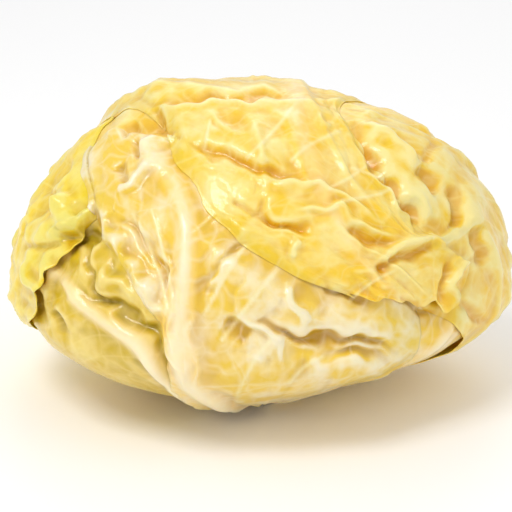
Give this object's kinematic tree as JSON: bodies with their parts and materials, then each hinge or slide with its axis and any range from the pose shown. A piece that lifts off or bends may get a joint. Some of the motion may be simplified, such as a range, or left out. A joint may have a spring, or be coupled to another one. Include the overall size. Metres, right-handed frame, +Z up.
{
  "type": "white cabbage",
  "caption": "Whole pickled head of white cabbage lying on its side: wilted, wet yellow leaves wrapped over a packed inner head, with a cut stem stub.",
  "frame": {"origin": "centre of the flattened underside, on the surface the head lies on", "axes": "+X along the head's width towards the viewer's right, +Y away from the viewer, +Z up"},
  "size_m": [0.234, 0.2023, 0.1443],
  "materials": {
    "golden_leaf": "wet, translucent, softly glossy",
    "pale_leaf": "wet, translucent, softly glossy",
    "olive_leaf": "wet, translucent, softly glossy",
    "yellow_leaf": "wet, translucent, softly glossy",
    "inner_leaf": "wet, softly glossy",
    "stem": "wet, satin cut face"
  },
  "bodies": {
    "root": {"leaf_top": "golden_leaf", "leaf_front": "pale_leaf", "leaf_outer_left": "yellow_leaf", "leaf_left": "olive_leaf", "leaf_right": "golden_leaf", "leaf_lower_right": "pale_leaf", "leaf_crown": "golden_leaf", "inner_head": "inner_leaf", "stem": "stem"}
  },
  "joints": []
}
